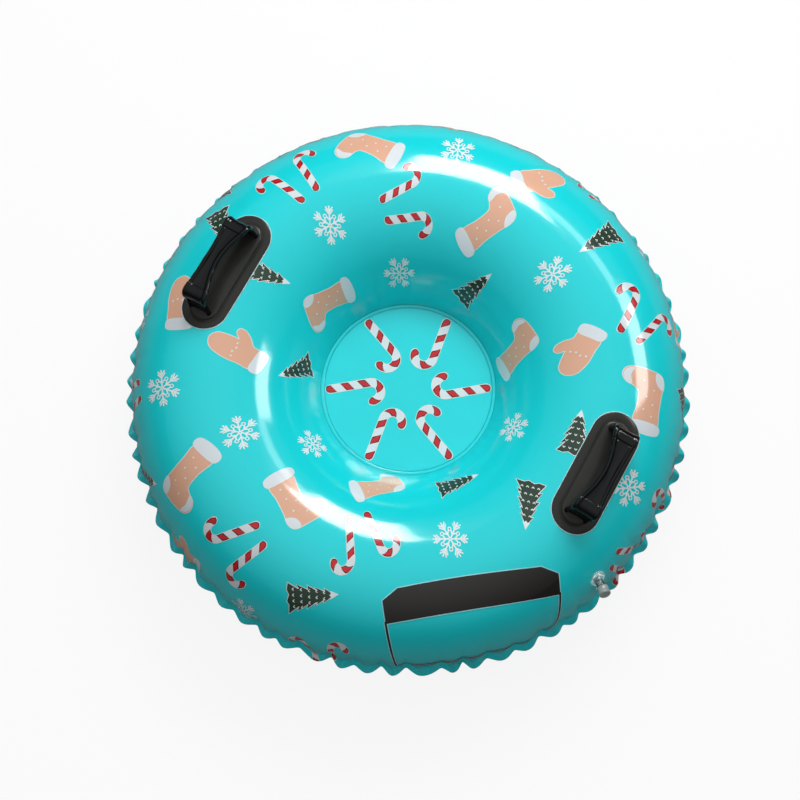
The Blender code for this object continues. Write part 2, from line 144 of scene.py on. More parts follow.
def film_skin(bearing, run, side):
    """Points of the outer face of the top film (side 1) or the bottom film (side -1), with its gathers."""
    radius, height = rounded_section(run)
    tilt = np.interp(run, section_runs, section_tilts)
    if side < 0:
        height = np.minimum(height, crest - rest_flattening)
    phase = gathers * bearing + 0.8 * np.sin(3 * bearing + 0.4) + 0.6 * np.sin(17 * bearing + 1.9)
    phase = phase + 0.45 * np.sin(29 * bearing + 0.6)
    swell = 1 + 0.16 * np.sin(5 * bearing + 0.7) + 0.15 * np.sin(23 * bearing + 2.1)
    swell = swell + 0.1 * np.sin(41 * bearing)
    lobe = np.sqrt(np.cos(phase / 2) ** 2 + crease_softness) / math.sqrt(1 + crease_softness)
    climb = np.clip(run, 0, None)
    drawn = gather_depth * swell * (1 - lobe ** 1.25) * np.exp(-(climb / gather_reach) ** 1.3)
    lifted = ruffle_height * swell * np.sin(phase + 0.6 * np.sin(phase)) * np.exp(-climb / ruffle_reach)
    long_phase = 17 * bearing + 1.5 * np.sin(4 * bearing + 1)
    pinch = crease_depth * swell * (1 - lobe) ** 2 * swelling(climb, crease_reach)
    long_lobe = np.sqrt(np.cos(long_phase) ** 2 + crease_softness)
    pinch += long_crease_depth * (1.01 - long_lobe) ** 2 * swelling(climb, long_crease_reach)
    arc = valve_radius * (np.mod(bearing - valve_bearing + math.pi, round_turn) - math.pi)
    pinch = pinch * (1 - np.exp(-((arc ** 2 + (run - valve_run) ** 2) / quiet_radius ** 2) ** 2))
    below = np.clip(wall_run - run, 0, None)
    pinch += well_ripple * np.cos(23 * bearing + 2 * np.sin(3 * bearing)) ** 2 * swelling(below, slack_reach)
    inside = run - wall_run
    beads = ring_bead * ridge(inside - 0.0036, 0.0016) + rim_bead * ridge(run + 0.0040, 0.0009)
    for line in pressed_lines:
        beads -= pressed_depth * ridge(inside - line, 0.0006)
    slack = floor_slack * np.cos(9 * bearing + 1.3 * np.sin(2 * bearing))
    slack = slack * swelling(np.clip(inside - slack_reach, 0, None), slack_reach)
    radial = radius - drawn - pinch * np.cos(tilt)
    rise = np.where(inside > 0, height, height - pinch * np.sin(tilt)) + beads
    droop = rim_droop * (np.clip(-run, 0, None) / rim_width) ** 1.3
    level = seam_level + side * (outer_face + rise) + lifted + slack - droop
    return np.stack([radial * np.cos(bearing), radial * np.sin(bearing), level], -1)


def on_film(bearing, run, side, lift=0.0):
    """Points that stand off a film, and the film's outward normals there."""
    bearing, run = np.broadcast_arrays(np.asarray(bearing, float), np.asarray(run, float))
    step = 0.0003
    along = film_skin(bearing, run + step, side) - film_skin(bearing, run - step, side)
    around = film_skin(bearing + step, run, side) - film_skin(bearing - step, run, side)
    normals = side * np.cross(around, along)
    lengths = np.linalg.norm(normals, axis=-1, keepdims=True)
    flat = np.zeros(normals.shape)
    flat[..., 2] = side
    normals = np.where(lengths > 1e-12, normals / np.maximum(lengths, 1e-12), flat)
    lift = np.asarray(lift, float)
    lift = lift[..., None] if lift.ndim else lift
    return film_skin(bearing, run, side) + normals * lift, normals


def ring_faces(outer, inner):
    """Faces between two rings of points; the inner one may hold a whole share of the outer one's points."""
    ratio = len(outer) // len(inner)
    if ratio == 1:
        return np.stack([outer, np.roll(outer, -1), np.roll(inner, -1), inner], 1).tolist()
    faces = []
    half = ratio // 2
    for i, here in enumerate(inner):
        there = inner[(i + 1) % len(inner)]
        steps = [int(outer[(i * ratio + k) % len(outer)]) for k in range(ratio + 1)]
        faces += [(steps[k], steps[k + 1], int(here)) for k in range(half)]
        faces.append((steps[half], int(there), int(here)))
        faces += [(steps[k], steps[k + 1], int(there)) for k in range(half, ratio)]
    return faces


def smooth_mesh(name, points, faces, normals=None):
    mesh = bpy.data.meshes.new(name)
    mesh.from_pydata(np.asarray(points).tolist(), [], faces)
    mesh.update()
    mesh.shade_smooth()
    if normals is not None:
        mesh.normals_split_custom_set_from_vertices(np.asarray(normals).tolist())
    return mesh


def linked(name, data):
    """A new object in the scene."""
    piece = bpy.data.objects.new(name, data)
    bpy.context.scene.collection.objects.link(piece)
    return piece


def set_out(name, mesh, material, body, stands_for=()):
    """Put a finished piece in the scene, on the body that carries it."""
    piece = linked(name, mesh)
    mesh.materials.append(material)
    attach(piece, body)
    if stands_for:
        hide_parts(*stands_for)


strip_runs = np.array([-0.0110, -0.0107, -0.0095, -0.0075, -0.0060, -0.0050, -0.0040, -0.0030, -0.0018])
inner_runs = (-0.0004, -0.0060, -0.0107, -0.0110)
gathered_runs = 0.066 * np.linspace(0, 1, 19) ** 1.5
crease_end = 0.045              # beyond this run up the wall the creases are shallow enough for wider facets
pressed_lines = (0.0004, 0.0064)
weld_runs = wall_run + np.array([-0.0045, -0.0030, -0.0018, -0.0010, -0.0004, 0.0, 0.0004, 0.0008,
                                 0.0013, 0.0022, 0.0036, 0.0050, 0.0056, 0.0060, 0.0064, 0.0068,
                                 0.0072, 0.0080, 0.0092, 0.0108, 0.0125, 0.0150])
floor_rings = np.array([0.127, 0.122, 0.115, 0.100, 0.080, 0.060, 0.040, 0.020, 0.007])
floor_runs = wall_run + floor_radius - floor_rings


def film_sheet(name, side, wall_rows, hole=None):
    """Outer face of a film from rim to middle, with its edge's thickness and the strip's inner face."""
    wall_runs = np.linspace(gathered_runs[-1], weld_runs[0], wall_rows + 1)[1:-1]
    fine_runs = np.concatenate([strip_runs, gathered_runs, wall_runs, weld_runs])
    fine = gathers * gather_points
    rings = [(2 * fine, run, -film_thickness) for run in inner_runs]
    rings += [(2 * fine if run < crease_end else fine, run, 0.0) for run in fine_runs]
    rings += [(fine // 5, run, 0.0) for run in floor_runs]
    points, faces, indices = [], [], []
    total = 0
    for count, run, lift in rings:
        bearings = round_turn * np.arange(count) / count
        points.append(on_film(bearings, run, side, lift)[0])
        indices.append(np.arange(total, total + count))
        total += count
    for (outer, inner), (ring, following) in zip(zip(indices, indices[1:]), zip(rings, rings[1:])):
        new = ring_faces(outer, inner)
        if hole is not None and ring[2] == 0 and hole[0] <= ring[1] and following[1] <= hole[1]:
            new = [face for i, face in enumerate(new) if not hole[2] <= i < hole[3]]
        faces += new
    points.append(on_film(np.zeros(1), np.full(1, wall_run + floor_radius), side)[0])
    last = indices[-1]
    faces += [(int(last[i]), int(last[(i + 1) % len(last)]), total) for i in range(len(last))]
    if side < 0:
        faces = [face[::-1] for face in faces]
    return np.concatenate(points), faces, fine_runs, indices


def placed(tree, kind, inputs=(), output=0, **settings):
    """Output of a new shader node whose inputs take values or other nodes' outputs."""
    node = tree.nodes.new(kind)
    for setting, value in settings.items():
        setattr(node, setting, value)
    for socket, value in dict(inputs).items():
        if isinstance(value, bpy.types.NodeSocket):
            tree.links.new(value, node.inputs[socket])
        else:
            node.inputs[socket].default_value = value
    return node.outputs[output]


def reckoned(tree, operation, *values):
    return placed(tree, "ShaderNodeMath", enumerate(values), operation=operation)


def rolled_vinyl_group():
    """Calendered vinyl: faint clouds of colour, a fine orange-peel skin, and scuffs that dull the gloss."""
    group = bpy.data.node_groups.new("rolled_vinyl", "ShaderNodeTree")
    for title, start in (("Colour", (0.5, 0.5, 0.5, 1)), ("Roughness", 0.2), ("Weld Shade", 0.0),
                         ("Clouding", 0.05), ("Peel Depth", 0.0001), ("Peel Scale", 260.0), ("Scuffs", 0.1)):
        kind = "NodeSocketFloat" if isinstance(start, float) else "NodeSocketColor"
        group.interface.new_socket(title, in_out="INPUT", socket_type=kind).default_value = start
    for title, kind in (("Colour", "Color"), ("Roughness", "Float"), ("Normal", "Vector")):
        group.interface.new_socket(title, in_out="OUTPUT", socket_type="NodeSocket" + kind)
    given = group.nodes.new("NodeGroupInput").outputs
    made = group.nodes.new("NodeGroupOutput").inputs
    place = placed(group, "ShaderNodeTexCoord", output="Object")
    stretch = {"Scale": (420, 9, 60), "Rotation": (0.4, 0.2, 0.7), "Vector": place}
    stretched = placed(group, "ShaderNodeMapping", stretch)

    def noise(scale, detail, vector=place):
        values = {"Scale": scale, "Detail": detail, "Vector": vector}
        return placed(group, "ShaderNodeTexNoise", values, "Fac")

    def of(operation, *values):
        return reckoned(group, operation, *values)

    shade = of("ADD", of("MULTIPLY", of("SUBTRACT", noise(7, 3), 0.5), given["Clouding"]), 1.0)
    flat = placed(group, "ShaderNodeVectorMath", {0: place, 1: (1, 1, 0)}, operation="MULTIPLY")
    span = placed(group, "ShaderNodeVectorMath", {0: flat}, "Value", operation="LENGTH")
    for line in pressed_lines:
        off = of("ABSOLUTE", of("SUBTRACT", span, floor_radius - line))
        limits = {"Value": off, "From Min": 0.0003, "From Max": 0.0013, "To Min": 1.0, "To Max": 0.0}
        dark = placed(group, "ShaderNodeMapRange", limits, "Result", interpolation_type="SMOOTHSTEP")
        shade = of("SUBTRACT", shade, of("MULTIPLY", dark, given["Weld Shade"]))
    limits = {"Value": noise(1.0, 4, stretched), "From Min": 0.66, "From Max": 0.74}
    hairs = placed(group, "ShaderNodeMapRange", limits, "Result")
    uneven = of("MULTIPLY", of("SUBTRACT", noise(34, 4), 0.5), 0.07)
    rough = of("ADD", of("ADD", given["Roughness"], of("MULTIPLY", hairs, given["Scuffs"])), uneven)
    tint = placed(group, "ShaderNodeHueSaturation", {"Color": given["Colour"], "Value": shade})
    bump = {"Strength": 1, "Distance": given["Peel Depth"], "Height": noise(given["Peel Scale"], 2)}
    bent = placed(group, "ShaderNodeBump", bump)
    for title, value in (("Colour", tint), ("Roughness", rough), ("Normal", bent)):
        group.links.new(value, made[title])
    return group


rolled_vinyl = rolled_vinyl_group()


def vinyl(name, colour, roughness, specular=0.5, clouding=0.05, peel=0.00003, peel_scale=260.0, scuffs=0.1,
          weld_shade=0.0):
    """Material of one vinyl or ink, from the shared rolled skin."""
    material = bpy.data.materials.new(name)
    material.use_nodes = True
    tree = material.node_tree
    values = {"Colour": (*colour, 1), "Roughness": roughness, "Clouding": clouding, "Peel Depth": peel,
              "Peel Scale": peel_scale, "Scuffs": scuffs, "Weld Shade": weld_shade}
    skin = placed(tree, "ShaderNodeGroup", values, node_tree=rolled_vinyl).node
    shader = tree.nodes["Principled BSDF"]
    for made, socket in (("Colour", "Base Color"), ("Roughness", "Roughness"), ("Normal", "Normal")):
        tree.links.new(skin.outputs[made], shader.inputs[socket])
    shader.inputs["Specular IOR Level"].default_value = specular
    return material


bottom_points, bottom_faces, _, _ = film_sheet("bottom_film", -1, 40)
bottom_mesh = smooth_mesh("bottom_film", bottom_points, bottom_faces)
bottom_vinyl = vinyl("turquoise_underside", bottom_colour, 0.26, scuffs=0.2)
set_out("bottom_film", bottom_mesh, bottom_vinyl, "tube", ("bottom_sheet",))


# Top film
# The same film, printed before it is welded: upper half of the ring and upper layer of the seat floor.
# A round hole is punched for the valve, whose flange is welded over it.

top_colour = (0.010, 0.70, 0.75)
hole_radius, hole_steps = 0.0083, 40
patch_reach, patch_turn, patch_columns, patch_spacing = 0.011, 0.030, 11, 0.0021

columns = gathers * gather_points
valve_turn = valve_bearing % round_turn
first_column = int((valve_turn - patch_turn) / round_turn * columns)
last_column = first_column + patch_columns
top_wall_rows = 44
top_wall = np.linspace(gathered_runs[-1], weld_runs[0], top_wall_rows + 1)
low_run = float(gathered_runs[gathered_runs < valve_run - patch_reach][-1])
high_run = float(top_wall[top_wall > valve_run + patch_reach][0])
hole = (low_run - 1e-9, high_run + 1e-9, first_column, last_column)
top_points, top_faces, top_runs, top_rings = film_sheet("top_film", 1, top_wall_rows, hole)


def valve_patch():
    """Fine patch of film round the punched hole, joined to the film's own points."""
    shift = len(inner_runs)
    rows = [i + shift for i, run in enumerate(top_runs) if low_run - 1e-9 <= run <= high_run + 1e-9]
    spans = list(range(first_column, last_column + 1))
    edge = [(rows[0], c) for c in spans] + [(r, spans[-1]) for r in rows[1:]]
    edge += [(rows[-1], c) for c in reversed(spans[:-1])] + [(r, spans[0]) for r in reversed(rows[1:-1])]
    flat = [((round_turn * c / columns - valve_turn) * valve_radius, top_runs[r - shift] - valve_run)
            for r, c in edge]
    known = [int(top_rings[r][c % columns]) for r, c in edge]
    turns = [round_turn * i / hole_steps for i in range(hole_steps)]
    grid = [(hole_radius * math.cos(t), hole_radius * math.sin(t)) for t in turns]
    left, right = flat[0][0], flat[len(spans) - 1][0]
    low, high = flat[0][1], flat[len(spans) + len(rows) - 2][1]
    for x in np.arange(left + 0.0016, right - 0.0012, patch_spacing):
        for y in np.arange(low + 0.0016, high - 0.0012, patch_spacing):
            if math.hypot(x, y) > hole_radius + 0.0011:
                grid.append((float(x), float(y)))
    count = len(edge)
    sides = [(i, (i + 1) % count) for i in range(count)]
    sides += [(count + i, count + (i + 1) % hole_steps) for i in range(hole_steps)]
    corners = [Vector(p) for p in flat + grid]
    places, _, triangles, origins, _, _ = delaunay_2d_cdt(corners, sides, [], 1, 1e-7)
    extra, index = [], {}
    for i, origin in enumerate(origins):
        on_edge = [o for o in origin if o < count]
        if on_edge:
            index[i] = known[on_edge[0]]
        else:
            index[i] = len(top_points) + len(extra)
            extra.append(places[i])
    kept = []
    for triangle in triangles:
        centre = sum((places[i] for i in triangle), Vector((0, 0))) / 3
        if centre.length > hole_radius * 0.995:
            kept.append([index[i] for i in triangle])
    bearings = np.array([valve_turn + p.x / valve_radius for p in extra])
    runs = np.array([valve_run + p.y for p in extra])
    return on_film(bearings, runs, 1)[0], kept


patch_points, patch_faces = valve_patch()
top_mesh = smooth_mesh("top_film", np.concatenate([top_points, patch_points]), top_faces + patch_faces)
top_vinyl = vinyl("turquoise_film", top_colour, 0.11, clouding=0.06, scuffs=0.10, weld_shade=0.32)
set_out("top_film", top_mesh, top_vinyl, "tube", ("top_sheet",))


# Printed ornaments
# Gravure inks on the flat top film, laid from the palest outlines up to the darkest lines. They are printed
# while the film is a flat round, so the ornaments draw together towards the rim when the tube is blown up.

ink_colours = {
    "cream": (0.86, 0.79, 0.70),
    "white": (0.72, 0.79, 0.83),
    "snow": (0.80, 0.90, 0.91),
    "outline": (0.016, 0.008, 0.010),
    "red": (0.60, 0.012, 0.022),
    "pine": (0.026, 0.056, 0.036),
    "peach": (0.78, 0.44, 0.30),
    "halo": (0.35, 0.80, 0.84),
    "charcoal": (0.016, 0.014, 0.013),
}
ink_levels = (0.00020, 0.00029, 0.00038, 0.00047, 0.00056)
prints = {ink: [] for ink in ink_colours}


def on_sheet(points, distance, bearing, turn, size=1.0, mirrored=False):
    """Lay an ornament's own points on the flat film; with no turn its top points at the rim."""
    x, y = np.asarray(points, float).T * size
    if mirrored:
        x = -x
    across, up = math.cos(bearing + turn), math.sin(bearing + turn)
    return np.stack([distance * math.cos(bearing) + y * across + x * up,
                     distance * math.sin(bearing) + y * up - x * across], 1)


def ink_down(ink, level, shape, place=None):
    """Print a shape, which is points and faces, at an ornament's place or where its points already are."""
    points, faces = shape
    prints[ink].append((on_sheet(points, *place) if place else points, faces, level))


class Stroke:
    """Middle line of a printed band, read by its length."""

    def __init__(self, points):
        points = np.asarray(points, float)
        spare = 0.02
        ends = [end + (end - inner) / np.linalg.norm(end - inner) * spare
                for end, inner in ((points[0], points[1]), (points[-1], points[-2]))]
        self.points = np.concatenate([ends[:1], points, ends[1:]])
        lengths = np.linalg.norm(np.diff(self.points, axis=0), axis=1)
        self.along = np.concatenate([[0], np.cumsum(lengths)]) - spare
        self.length = float(self.along[-2])

    def at(self, along):
        return np.stack([np.interp(along, self.along, self.points[:, k]) for k in (0, 1)], -1)

    def band(self, half, start=0.0, end=None, slants=(0, 0), rounded=(False, False), across=4, step=0.003):
        """Grid over the band between two places along it, with slanted or rounded ends."""
        end = self.length if end is None else end
        stops = np.linspace(start, end, max(2, math.ceil((end - start) / step) + 1))
        bends = half * (1 - np.cos(np.linspace(0, math.pi / 2, 6)))
        if rounded[0]:
            stops = np.concatenate([start + bends, stops[stops > start + half + 1e-6]])
        if rounded[1]:
            stops = np.concatenate([stops[stops < end - half - 1e-6], end - bends[::-1]])
        width = np.ones(len(stops))
        for is_round, off in zip(rounded, (stops - start, end - stops)):
            if is_round:
                width *= np.sqrt(np.clip(1 - np.clip(1 - off / half, 0, 1) ** 2, 0.0004, 1))
        slant = np.interp(stops, [start, end], slants)
        rows = []
        for side in np.linspace(-1, 1, across + 1):
            places = stops + slant * side
            forward = self.at(places + 0.0005) - self.at(places - 0.0005)
            forward /= np.linalg.norm(forward, axis=1, keepdims=True)
            sideways = np.stack([forward[:, 1], -forward[:, 0]], 1)
            rows.append(self.at(places) + sideways * (half * side * width)[:, None])
        count = len(stops)
        faces = [(r * count + i, (r + 1) * count + i, (r + 1) * count + i + 1, r * count + i + 1)
                 for r in range(across) for i in range(count - 1)]
        return np.concatenate(rows), faces


def filled(outline, spacing=0.004):
    """Triangles over a closed outline, small enough to follow the film."""
    outline = np.asarray(outline, float)
    edge = []
    for here, there in zip(outline, np.roll(outline, -1, 0)):
        parts = max(1, math.ceil(np.linalg.norm(there - here) / spacing))
        edge += [here + (there - here) * k / parts for k in range(parts)]
    edge = np.array(edge)
    low, high = edge.min(0), edge.max(0)
    xs, ys = np.meshgrid(np.arange(low[0], high[0], spacing), np.arange(low[1], high[1], spacing * 0.87))
    xs[1::2] += spacing / 2
    inner = np.stack([xs.ravel(), ys.ravel()], 1)
    crossings = np.zeros(len(inner), int)
    nearest = np.full(len(inner), 1.0)
    for here, there in zip(edge, np.roll(edge, -1, 0)):
        if here[1] != there[1]:
            spans = (here[1] > inner[:, 1]) != (there[1] > inner[:, 1])
            reach = here[0] + (inner[:, 1] - here[1]) / (there[1] - here[1]) * (there[0] - here[0])
            crossings += spans & (inner[:, 0] < reach)
        nearest = np.minimum(nearest, np.linalg.norm(inner - (here + there) / 2, axis=1))
    inner = inner[(crossings % 2 == 1) & (nearest > spacing * 0.5)]
    corners = [Vector(p) for p in np.concatenate([edge, inner])]
    sides = [(i, (i + 1) % len(edge)) for i in range(len(edge))]
    places, _, triangles, _, _, _ = delaunay_2d_cdt(corners, sides, [], 1, 1e-7)
    return np.array([tuple(p) for p in places]), [list(t) for t in triangles]


def grown(outline, margin):
    """Outline set out (or in) by a margin, with its sharp corners clipped."""
    outline = np.asarray(outline, float)
    following = np.roll(outline, -1, 0)
    area = np.sum(outline[:, 0] * following[:, 1] - following[:, 0] * outline[:, 1])
    onwards = following - outline
    onwards /= np.linalg.norm(onwards, axis=1, keepdims=True)
    outwards = math.copysign(1, area) * np.stack([onwards[:, 1], -onwards[:, 0]], 1)
    bisector = outwards + np.roll(outwards, 1, 0)
    stretch = 2 / np.maximum((bisector ** 2).sum(1), 0.9)
    return outline + bisector * margin * stretch[:, None]


def smooth_loop(corners, steps=5):
    """Closed curve through corner points."""
    b = np.asarray(corners, float)
    a, c, d = np.roll(b, 1, 0), np.roll(b, -1, 0), np.roll(b, -2, 0)
    bend, twist = 2 * a - 5 * b + 4 * c - d, 3 * b - a - 3 * c + d
    places = [0.5 * (2 * b + (c - a) * t + bend * t ** 2 + twist * t ** 3) for t in np.arange(steps) / steps]
    return np.stack(places, 1).reshape(-1, 2)


hook_radius, hook_foot = 0.0158, 0.017
hook = [(hook_radius + hook_radius * math.cos(t), hook_foot + hook_radius * math.sin(t))
        for t in np.linspace(math.pi, -0.40, 24)]
cane_line = Stroke([(0, -0.056), (0, -0.02), (0, 0.0)] + hook)
cane_half, cane_edge, cane_tip, cane_slant, cane_outline = 0.0064, 0.0011, 0.0130, 0.0045, 0.0014
cane_blocks = [(0.0, cane_tip), (0.029, 0.042), (0.057, 0.070), (0.086, 0.099),
               (cane_line.length - cane_tip, cane_line.length)]


def candy_cane(*place):
    """Striped cane: cream edge, white stick, and red blocks with a fine dark line round each."""
    both, length = (True, True), cane_line.length
    edge = cane_line.band(cane_half + cane_edge, -cane_edge, length + cane_edge, rounded=both)
    ink_down("cream", 0, edge, place)
    ink_down("white", 1, cane_line.band(cane_half, rounded=both), place)
    for i, (start, end) in enumerate(cane_blocks):
        ends = (i == 0, i == len(cane_blocks) - 1)
        slants = [0 if at_tip else cane_slant for at_tip in ends]
        for ink, level, spare in (("outline", 2, 0.0), ("red", 3, cane_outline)):
            block = cane_line.band(cane_half - spare, start + spare, end - spare, slants, ends)
            ink_down(ink, level, block, place)


flake_reach, flake_stroke = 0.034, 0.0013
flake_bead_place, flake_bead_radius, flake_bead_stroke = 0.0175, 0.0030, 0.0009
# distance along the arm at a feather's root and tip, and how far its tip stands to the side
flake_feathers = ((0.0185, 0.0275, 0.0075), (0.0235, 0.0320, 0.0070), (0.0085, 0.0140, 0.0050))


def heading(turn):
    return np.array([math.cos(turn), math.sin(turn)])


def snowflake(*place):
    """Six-armed flake with feathered tips, an inner star and a bead between each pair of arms."""
    strokes = []
    bead = flake_bead_radius * np.array([heading(t) for t in np.linspace(0, round_turn, 17)])
    for k in range(6):
        direction, between = heading(math.pi / 3 * k), heading(math.pi / 3 * (k + 0.5))
        side = np.array([-direction[1], direction[0]])
        strokes.append((direction * 0.001, direction * flake_reach))
        for root, reach, spread in flake_feathers:
            strokes += [(direction * root, direction * reach + side * spread * s) for s in (1, -1)]
        ring = Stroke(between * flake_bead_place + bead)
        ink_down("snow", 1, ring.band(flake_bead_stroke, across=1, step=0.0012), place)
    for i, stroke in enumerate(strokes):
        line = Stroke(stroke).band(flake_stroke, rounded=(True, True), across=2, step=0.004)
        ink_down("snow", 1 + i % 3, line, place)


# height and half width of each tier's top, then of its foot
fir_tiers = ((0.034, 0.0035, 0.021, 0.0115), (0.023, 0.0060, 0.007, 0.0155), (0.009, 0.0090, -0.008, 0.0190),
             (-0.006, 0.0115, -0.024, 0.0225), (-0.022, 0.0140, -0.042, 0.0265))
fir_cap = [(0, 0.048), (-0.0065, 0.0335), (-0.0025, 0.0350), (0.0005, 0.0315), (0.0032, 0.0352),
           (0.0070, 0.0330)]
tick_spacing, tick_shift, tick_stroke = 0.0098, 0.002, 0.0007
# height and number of the ticks in each row
fir_ticks = ((0.021, 2), (0.008, 3), (-0.005, 3), (-0.019, 4), (-0.033, 4))


def fir_tree(*place):
    """Layered fir with ragged tiers, a dark edge, a snowy top and small ticks of snow."""
    right, left = [], []
    for i, (top, inner, foot, outer) in enumerate(fir_tiers):
        right += [(inner, top), (outer, foot - 0.0015 * (i % 2))]
        left += [(-inner, top), (-outer * 0.96, foot + 0.002 - 0.003 * (i % 2))]
        if i < len(fir_tiers) - 1:
            right.append((fir_tiers[i + 1][1] + 0.001, foot + 0.002))
            left.append((-fir_tiers[i + 1][1] - 0.001, foot + 0.0035))
    base = [(0.012, -0.0395), (0.004, -0.0430), (-0.006, -0.0385), (-0.015, -0.0420)]
    outline = [(0, 0.0345)] + right + base + left[::-1]
    layers = (("cream", grown(outline, 0.0012)), ("outline", outline), ("pine", grown(outline, -0.0011)),
              ("snow", fir_cap))
    for level, (ink, shape) in enumerate(layers):
        ink_down(ink, level, filled(shape), place)
    for row, (y, count) in enumerate(fir_ticks):
        for i in range(count):
            x = tick_spacing * (i - (count - 1) / 2) + tick_shift * (row % 2)
            for side in (1, -1):
                tick = Stroke([(x, y), (x + 0.0022 * side, y + 0.0032)])
                ink_down("snow", 3, tick.band(tick_stroke, across=1), place)


def knitted(place, body, trims, dots, dot_radius):
    """Peach shape with a cream edge, white trims and white dots."""
    body = smooth_loop(body)
    ink_down("cream", 0, filled(grown(body, 0.0010)), place)
    ink_down("peach", 1, filled(body), place)
    round_dot = dot_radius * np.array([heading(round_turn * i / 10) for i in range(10)])
    for shape in [smooth_loop(trim) for trim in trims] + [round_dot + dot for dot in dots]:
        ink_down("white", 2, filled(shape), place)


def stocking(*place):
    """Hanging stocking with a white cuff, heel and toe, and a few snow dots."""
    body = [(-0.015, 0.034), (-0.0155, 0.010), (-0.016, -0.014), (-0.0175, -0.027), (-0.012, -0.0385),
            (0.004, -0.0415), (0.022, -0.0420), (0.0345, -0.0385), (0.0385, -0.0290), (0.0330, -0.0195),
            (0.0225, -0.0155), (0.0155, -0.0090), (0.0145, 0.010), (0.015, 0.034)]
    cuff = [(-0.0195, 0.031), (-0.0190, 0.043), (0.0, 0.0465), (0.0190, 0.043), (0.0195, 0.031), (0, 0.0285)]
    heel = [(-0.0170, -0.019), (-0.0180, -0.028), (-0.0125, -0.0380), (-0.0035, -0.0395), (-0.0060, -0.0265)]
    toe = [(0.0255, -0.0172), (0.0340, -0.0205), (0.0378, -0.0290), (0.0340, -0.0375), (0.0260, -0.0400),
           (0.0285, -0.0290)]
    dots = [(-0.006, 0.020), (0.006, 0.013), (-0.005, 0.004), (0.005, -0.005), (-0.004, -0.016),
            (0.011, -0.026)]
    knitted(place, body, (cuff, heel, toe), dots, 0.0013)


def mitten(*place):
    """Knitted mitten with a white cuff and a line of snow dots."""
    body = [(-0.014, -0.026), (-0.0165, -0.008), (-0.0175, 0.012), (-0.0125, 0.031), (0.0, 0.0385),
            (0.0115, 0.032), (0.0155, 0.014), (0.0165, 0.006), (0.0235, 0.0125), (0.0305, 0.0120),
            (0.0315, 0.0040), (0.0250, -0.0060), (0.0165, -0.0140), (0.0135, -0.026)]
    cuff = [(-0.0170, -0.0240), (-0.0175, -0.0370), (0.0, -0.0400), (0.0170, -0.0370), (0.0165, -0.0240),
            (0, -0.0225)]
    dots = [(-0.0110 + 0.0070 * i, 0.003 + 0.002 * (i % 2)) for i in range(4)]
    knitted(place, body, (cuff,), dots, 0.0014)


def cane_pair(distance, bearing, turn, size=1.0):
    """Two canes side by side, a little askew, with their hooks apart."""
    apart = 0.026 * size
    for side, mirrored in ((-1, True), (1, False)):
        middle = bearing + turn
        x = distance * math.cos(bearing) + side * apart * math.sin(middle)
        y = distance * math.sin(bearing) - side * apart * math.cos(middle)
        own_bearing = math.atan2(y, x)
        candy_cane(math.hypot(x, y), own_bearing, middle - own_bearing - 0.16 * side, size, mirrored)


def clear_of_panel(distance, bearing):
    """Whether an ornament there keeps off the printed panel, which lies beyond the inner rows."""
    from_panel = abs(math.remainder(bearing + math.pi / 4, round_turn)) * distance
    return distance < 0.40 or from_panel > 0.215


for i in range(6):
    candy_cane(0.081, round_turn * (i + 0.4) / 6, math.pi + 0.26)
# distance from the middle, number, shift by a share of the spacing, kinds in turn, and size
rows = ((0.222, 9, 0.10, (snowflake, stocking, fir_tree), 0.95),
        (0.334, 13, 0.30, (fir_tree, mitten, snowflake, stocking, cane_pair, snowflake), 1.0),
        (0.446, 17, 0.05, (snowflake, stocking, cane_pair, fir_tree, mitten), 1.05),
        (0.550, 21, 0.40, (cane_pair, fir_tree, mitten, snowflake), 0.95))
for distance, count, shift, kinds, size in rows:
    for i in range(count):
        bearing = round_turn * (i + shift) / count
        kind = kinds[i % len(kinds)]
        if clear_of_panel(distance, bearing):
            larger = 1.30 if kind in (stocking, mitten) else 0.97
            kind(distance + 0.004 * (-1) ** i, bearing, 2.4 * i + 5 * distance, size * larger)


# Printed panel
# A charcoal band with clipped upper corners over an outlined window, printed across the other ornaments on
# the outer wall, as such tubes carry. It is left bare.

panel_middle = np.array([0.2784, -0.2764])
panel_angle = math.radians(38.6)
panel_half, band_height, panel_height = 0.1585, 0.052, 0.159
clip_across, clip_down, window_corner, line_spacing = 0.029, 0.014, 0.055, 0.0075


def on_panel(points):
    """Panel places, across from its middle and down from its top edge, on the flat film."""
    across, down = heading(panel_angle), heading(panel_angle - math.pi / 2)
    return np.array([panel_middle + across * x + down * y for x, y in points])


band_outline = [(-panel_half, clip_down), (-panel_half + clip_across, 0), (panel_half - clip_across, 0),
                (panel_half, clip_down), (panel_half, band_height), (-panel_half, band_height)]
window_line = [(-panel_half, band_height - 0.004), (-panel_half, panel_height)]
for turn in np.linspace(math.pi / 2, 0, 9):
    window_line.append((panel_half - window_corner * (1 - math.cos(turn)),
                        panel_height - window_corner * (1 - math.sin(turn))))
window_line += [(panel_half, band_height - 0.004)]
second_line = [(-panel_half + 0.004, panel_height + line_spacing),
               (panel_half - 0.050, panel_height + line_spacing)]
ink_down("halo", 3, filled(on_panel(grown(band_outline, 0.0016)), 0.006))
ink_down("charcoal", 4, filled(on_panel(band_outline), 0.006))
for line in (window_line, second_line):
    for ink, level, half in (("halo", 3, 0.0034), ("charcoal", 4, 0.0019)):
        ink_down(ink, level, Stroke(on_panel(line)).band(half, across=2))


